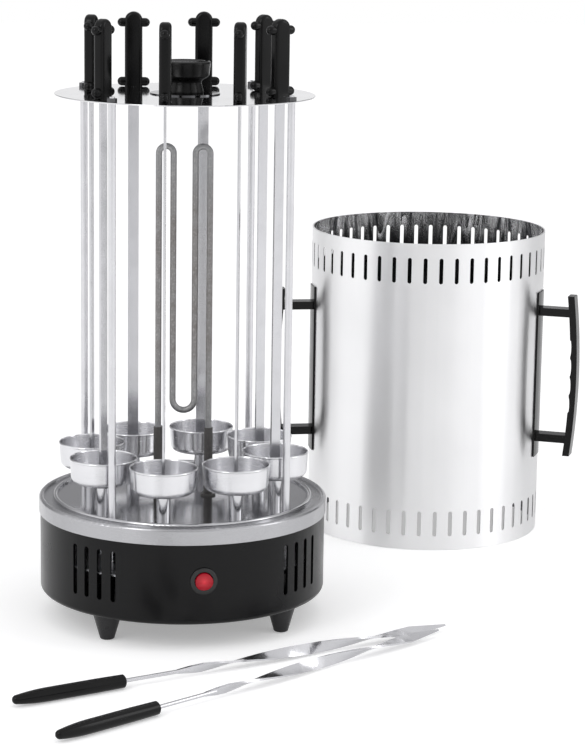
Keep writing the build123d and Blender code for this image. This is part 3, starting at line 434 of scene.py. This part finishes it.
# painted reflection: the washer's steel is painted near black for the dark knob mirrored in it
washer_steel_painted_dark = mirror("washer_steel_painted_dark", (0.13, 0.13, 0.136), 0.08, 0.14, grill)
knob_black = moulded("knob_black", (0.003, 0.003, 0.003), 0.24, 1400, 0.03, 0.2)
handle_black = moulded("handle_black", (0.0025, 0.0025, 0.0026), 0.18, 2200, 0.03, 0.2)
foot_black = moulded("foot_black", (0.012, 0.012, 0.013), 0.3, 1800, 0.2, 0.4)
under_black = moulded("under_black", (0.02, 0.02, 0.021), 0.5, 1300, 0.35)
switch_black = moulded("switch_black", (0.004, 0.004, 0.004), 0.16, 1800, 0.05, 0.5)
red = rocker_red()
heater_grey = heater_metal()
sleeve_dark = ceramic()
gear_white = nylon()
plate_alloy = cast_alloy()
zinc = plated("zinc_screws", (0.6, 0.6, 0.62), 0.22, 0.38)
dark_steel = plated("dark_nuts", (0.13, 0.13, 0.135), 0.25, 0.4)
motor_steel = plated("motor_steel", (0.5, 0.5, 0.52), 0.3, 0.45)

# ---------------------------------------------------------------- dressing the solids


def paint(material, *names):
    """Give CAD nodes their finish."""
    for name in names:
        mesh = nodes[name].data
        mesh.materials.clear()
        mesh.materials.append(material)


def stand_in(name, mesh, material):
    """A piece of the scene in place of a node, on the node's body."""
    piece = bpy.data.objects.new(name + "_look", mesh)
    bpy.context.scene.collection.objects.link(piece)
    mesh.materials.clear()
    mesh.materials.append(material)
    mesh.polygons.foreach_set("material_index", [0] * len(mesh.polygons))
    mesh.shade_smooth()
    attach(piece, nodes[name]["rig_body"])
    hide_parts(name)
    return piece


def dress(name, material, bevel, segments=3):
    """A copy of a node with its edges eased, in place of the node."""
    mesh = nodes[name].data.copy()
    work = bmesh.new()
    work.from_mesh(mesh)
    bmesh.ops.remove_doubles(work, verts=work.verts, dist=MERGE_WITHIN)
    bmesh.ops.dissolve_limit(
        work, angle_limit=radians(FLAT_WITHIN), verts=work.verts, edges=work.edges
    )
    work.to_mesh(mesh)
    work.free()
    if "custom_normal" in mesh.attributes:
        mesh.attributes.remove(mesh.attributes["custom_normal"])
    modifier = stand_in(name, mesh, material).modifiers.new("edges", "BEVEL")
    modifier.width = bevel
    modifier.segments = segments
    modifier.limit_method = "ANGLE"
    modifier.angle_limit = radians(EASED_FROM)
    modifier.use_clamp_overlap = True
    modifier.harden_normals = True


def turn_up(name, material, axis, profile, around=128):
    """A finely turned copy of a round node: its outline is given as radius and height."""
    mesh = bpy.data.meshes.new(name + "_look")
    work = bmesh.new()
    angles = [tau * k / around for k in range(around)]
    rings = []
    for radius, height in profile:
        if radius == 0:
            rings.append([work.verts.new((axis.x, axis.y, height))] * around)
            continue
        rings.append([
            work.verts.new((axis.x + radius * sin(a), axis.y - radius * cos(a), height))
            for a in angles
        ])
    for lower, upper in zip(rings, rings[1:]):
        for k in range(around):
            corners = [lower[k], lower[(k + 1) % around], upper[(k + 1) % around], upper[k]]
            corners = list(dict.fromkeys(corners))
            if len(corners) > 2:
                work.faces.new(corners)
    bmesh.ops.recalc_face_normals(work, faces=work.faces)
    work.to_mesh(mesh)
    work.free()
    stand_in(name, mesh, material)
    mesh.set_sharp_from_angle(angle=radians(SHARP_FROM))


def eased(corners, radii, steps=5):
    """An outline with its corners rounded, each by its own radius."""
    points = [corners[0]]
    for before, corner, after, radius in zip(corners, corners[1:], corners[2:], radii):
        a, b, c = Vector(before), Vector(corner), Vector(after)
        reach = min(radius, (a - b).length / 2, (c - b).length / 2)
        start, end = b + (a - b).normalized() * reach, b + (c - b).normalized() * reach
        for k in range(steps + 1):
            t = k / steps
            points.append(tuple((1 - t) ** 2 * start + 2 * t * (1 - t) * b + t ** 2 * end))
    return points + [corners[-1]]


def knob():
    """The carrying knob: a waisted stem under a dished grip."""
    low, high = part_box("top_knob")
    z0, z1 = low.z, high.z
    dish_radius, dish_depth = 0.016, 0.0016
    corners = [
        (0, z0), (0.015, z0), (0.015, z0 + 0.0015), (0.0128, z0 + 0.0095), (0.0195, z0 + 0.0134),
        (0.021, z1 - 0.0004), (dish_radius, z1),
    ]
    outline = eased(corners, (0.0004, 0.001, 0.003, 0.0016, 0.0022))
    quarter = [pi / 2 * k / 8 for k in range(8)]
    dish = [(dish_radius * cos(a), z1 - dish_depth * sin(a)) for a in quarter]
    turn_up("top_knob", knob_black, grill, outline[:-1] + dish + [(0, z1 - dish_depth)])


paint(black_enamel, "base_housing")
paint(satin_steel, "base_rim")
paint(deck_steel, "deck_plate")
paint(under_black, "bottom_cover")
paint(plate_alloy, "gear_plate")
paint(zinc, "foot_screws", "chassis_screws", "plate_spacers", "motor_pinion")
paint(motor_steel, "motor")
paint(gear_white, "drive_gear")
paint(heater_grey, "heater_element")
paint(sleeve_dark, "heater_insulators")
paint(post_steel, "support_posts")
paint(disc_steel, "top_disc")
paint(washer_steel_painted_dark, "knob_washer")
paint(cover_steel, "cover_shell")
dress("feet", foot_black, 0.0005)
dress("post_nuts", dark_steel, 0.0004)
knob()
dress("switch_body", switch_black, 0.0003)
dress("switch_rocker", red, 0.0005)
dress("cord_gland", switch_black, 0.0004)
dress("cover_handles", handle_black, 0.0027, 5)
for k in places:
    paint(stem_steel, f"spindle_{k}")
    paint(cup_steel, f"drip_cup_{k}")
    paint(blade_steel, f"skewer_blade_{k}")
    dress(f"skewer_handle_{k}", handle_black, 0.0006)
for letter in "ab":
    paint(blade_steel, f"loose_skewer_{letter}_blade")
    dress(f"loose_skewer_{letter}_handle", handle_black, 0.0004)

# ---------------------------------------------------------------- stage, world and lamps


def stage_floor():
    bpy.ops.mesh.primitive_plane_add(size=16, location=(0, 0, -0.0004))
    floor = bpy.context.object
    floor.name = "floor"
    material = bpy.data.materials.new("floor")
    material.use_nodes = True
    tree = material.node_tree
    tree.nodes.clear()
    path = put(tree, "LightPath").outputs
    mirrored = math(tree, "MAXIMUM", path["Is Glossy Ray"], path["Is Transmission Ray"])
    mirrored = math(tree, "MULTIPLY", mirrored, FLOOR_GLOW_MIRRORED)
    seen = math(tree, "MULTIPLY_ADD", path["Is Camera Ray"], FLOOR_GLOW_SEEN, mirrored)
    diffuse = put(tree, "BsdfDiffuse", (FLOOR_SHADE, FLOOR_SHADE, FLOOR_SHADE, 1))
    glow = put(tree, "Emission", WHITE, seen)
    both = put(tree, "AddShader", diffuse.outputs[0], glow.outputs[0])
    put(tree, "OutputMaterial", both.outputs[0])
    floor.data.materials.append(material)


def studio_world():
    """A pale room: white all round, with soft grey strips that metal edges pick up."""
    world = bpy.data.worlds.new("studio")
    bpy.context.scene.world = world
    world.use_nodes = True
    tree = world.node_tree
    tree.nodes.clear()
    direction = put(tree, "TexCoord").outputs["Generated"]
    x, y, z = put(tree, "SeparateXYZ", direction).outputs
    # the angle from the front, as a share of a full turn
    angle = math(tree, "ARCTAN2", x, math(tree, "MULTIPLY", y, -1.0))
    share = put(tree, "MapRange", angle, -pi, pi, 0.0, 1.0).outputs[0]
    ramp = put(tree, "ValToRGB", share)
    ramp.color_ramp.interpolation = "EASE"
    bands = (
        (0.0, 0.9), (0.05, 0.6), (0.1, 0.3), (0.16, 0.7), (0.21, 1.2), (0.31, 1.2), (0.38, 0.86),
        (0.45, 0.48), (0.51, 0.64), (0.58, 1.15), (0.64, 1.1), (0.71, 1.25), (0.76, 0.75),
        (0.81, 0.28), (0.86, 0.06), (0.92, 0.25), (0.95, 0.9), (1.0, 0.9),
    )
    steps = ramp.color_ramp.elements
    while len(steps) < len(bands):
        steps.new(0.5)
    for step, (at, value) in zip(steps, bands):
        step.position = at
        step.color = (value, value, value * 1.01, 1)
    # a darker field behind, above the horizon, which the flat sheets mirror
    behind = put(tree, "MapRange", y, 0.55, 0.8, 0.0, 1.0).outputs[0]
    above = put(tree, "MapRange", z, 0.13, 0.2, 0.0, 1.0).outputs[0]
    walls = blend(tree, math(tree, "MULTIPLY", behind, above), ramp.outputs[0], FIELD_BEHIND)
    # overhead it is even
    room = blend(tree, put(tree, "MapRange", z, 0.35, 0.8, 0.0, 1.0).outputs[0], walls, OVERHEAD)
    # and the camera sees it white
    final = blend(tree, put(tree, "LightPath").outputs["Is Camera Ray"], room, WHITE)
    background = put(tree, "Background", final, 1.0)
    put(tree, "OutputWorld", background.outputs[0])


def lamp(name, at, towards, size, power):
    data = bpy.data.lights.new(name, "AREA")
    data.shape = "RECTANGLE"
    data.size, data.size_y = size
    data.energy = power
    light = bpy.data.objects.new(name, data)
    light.location = at
    light.rotation_euler = (Vector(towards) - Vector(at)).to_track_quat("-Z", "Y").to_euler()
    bpy.context.scene.collection.objects.link(light)


stage_floor()
studio_world()
lamp("key", (-1.9, -1.6, 1.9), (0, 0, 0.2), (0.9, 1.5), 14)
lamp("side", (2.2, -0.9, 1.4), (0, 0, 0.2), (0.6, 1.6), 7)
